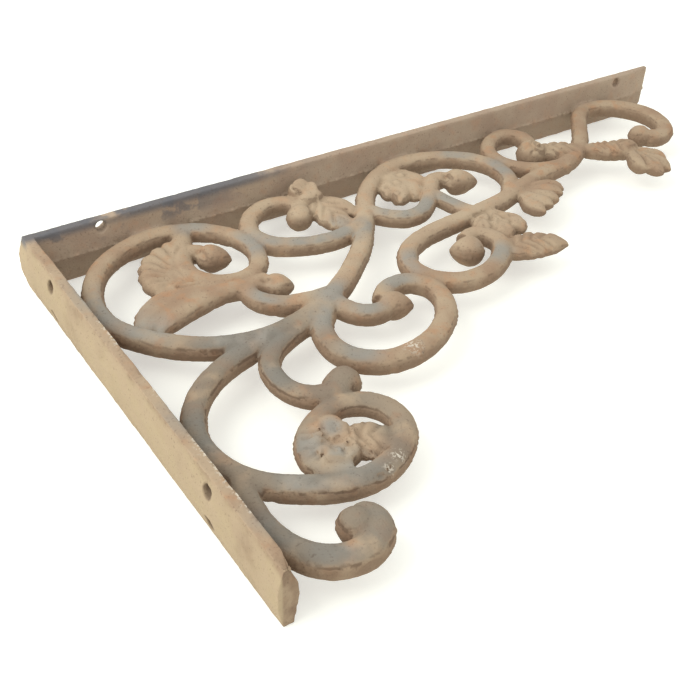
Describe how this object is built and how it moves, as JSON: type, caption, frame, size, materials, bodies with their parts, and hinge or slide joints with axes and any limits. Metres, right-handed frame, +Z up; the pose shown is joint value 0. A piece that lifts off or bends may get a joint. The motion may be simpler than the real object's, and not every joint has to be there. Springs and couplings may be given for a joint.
{
  "type": "ornate shelf bracket",
  "caption": "Cast iron shelf bracket: a long shelf plate and a shorter wall plate joined in one casting by openwork scrolls with ball ends and leaves.",
  "frame": {"origin": "middle of the wall plate's flat back face, at half its height and half its width", "axes": "+X out from the wall along the shelf plate, +Z up to the shelf, +Y across the plates to the bracket's plainer side"},
  "size_m": [0.407, 0.028, 0.2367],
  "materials": {
    "rusted_iron": "weathered bare casting with dusty tan rust over dark grey iron"
  },
  "bodies": {
    "root": {"bracket_casting": "rusted_iron"}
  },
  "joints": []
}
